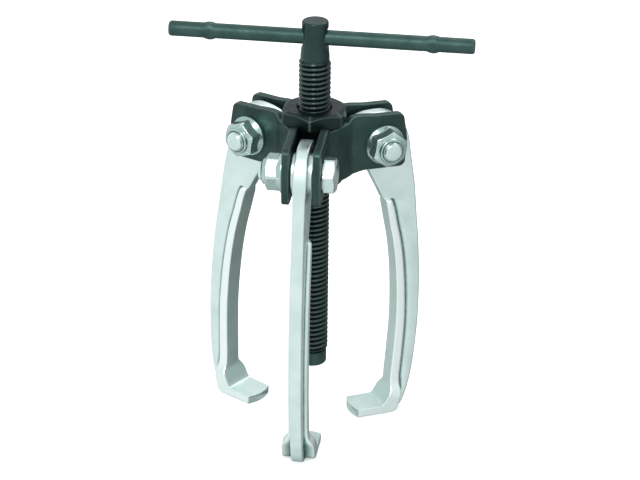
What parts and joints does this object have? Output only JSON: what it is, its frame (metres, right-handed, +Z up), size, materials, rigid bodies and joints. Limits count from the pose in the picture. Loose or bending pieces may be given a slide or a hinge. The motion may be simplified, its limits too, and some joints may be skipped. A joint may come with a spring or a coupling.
{
  "type": "three-arm gear puller",
  "caption": "Mechanical puller with swinging hooked arms on a plate yoke and a threaded spindle turned by a sliding tommy bar.",
  "frame": {"origin": "centre of the spindle tip's pressing face", "axes": "+Z up the spindle towards its tommy bar, +X along the tommy bar, the front arm towards -Y"},
  "size_m": [0.119, 0.0739, 0.1736],
  "materials": {
    "black_nut": "blackened steel, satin, bright where its corners are worn",
    "black_plate": "blackened sheet steel, satin",
    "black_bar": "blackened steel rod, satin",
    "spindle_steel": "blackened and oiled rolled thread, glossy on its crests",
    "tip_steel": "blackened hardened steel",
    "ball_steel": "polished bearing ball",
    "plated_arm": "plated drop forging, satin",
    "plated_fastener": "bright plated steel",
    "locking_ring": "smooth nylon"
  },
  "bodies": {
    "yoke": {"spindle_nut": "black_nut", "cheek_plate_right": "black_plate", "cheek_plate_rear": "black_plate", "cheek_plate_left": "black_plate", "pivot_bolt_front": "plated_fastener", "pivot_bolt_right": "plated_fastener", "pivot_bolt_left": "plated_fastener", "flange_nut_front": "plated_fastener", "flange_nut_right": "plated_fastener", "flange_nut_left": "plated_fastener", "locking_ring_front": "locking_ring", "locking_ring_right": "locking_ring", "locking_ring_left": "locking_ring"},
    "pressure_tip": {"pressure_tip": "tip_steel", "thrust_ball": "ball_steel"},
    "spindle": {"spindle": "spindle_steel"},
    "tommy_bar": {"tommy_bar": "black_bar"},
    "front_arm": {"arm_front": "plated_arm"},
    "right_arm": {"arm_right": "plated_arm"},
    "left_arm": {"arm_left": "plated_arm"}
  },
  "joints": [
    {"name": "spindle_feed", "type": "slide", "parent": "yoke", "child": "pressure_tip", "axis": [0, 0, 1], "range_m": [-0.025, 0.07]},
    {"name": "spindle_turn", "type": "hinge", "parent": "pressure_tip", "child": "spindle", "pos_m": [0, 0, 0], "axis": [0, 0, 1], "range_deg": [-4500, 12600]},
    {"name": "bar_slide", "type": "slide", "parent": "spindle", "child": "tommy_bar", "axis": [1, 0, 0], "range_m": [-0.038, 0.0335]},
    {"name": "front_arm_swing", "type": "hinge", "parent": "yoke", "child": "front_arm", "pos_m": [0, -0.0268, 0.094], "axis": [-1, 0, 0], "range_deg": [-4.2, 75]},
    {"name": "right_arm_swing", "type": "hinge", "parent": "yoke", "child": "right_arm", "pos_m": [0.02321, 0.0134, 0.094], "axis": [0.5, -0.866, 0], "range_deg": [-4.2, 75]},
    {"name": "left_arm_swing", "type": "hinge", "parent": "yoke", "child": "left_arm", "pos_m": [-0.02321, 0.0134, 0.094], "axis": [0.5, 0.866, 0], "range_deg": [-8.8, 70.4]}
  ],
  "couplings": [
    {"joint": "spindle_feed", "follows": "spindle_turn", "m_per_rad": 0.00031831}
  ]
}
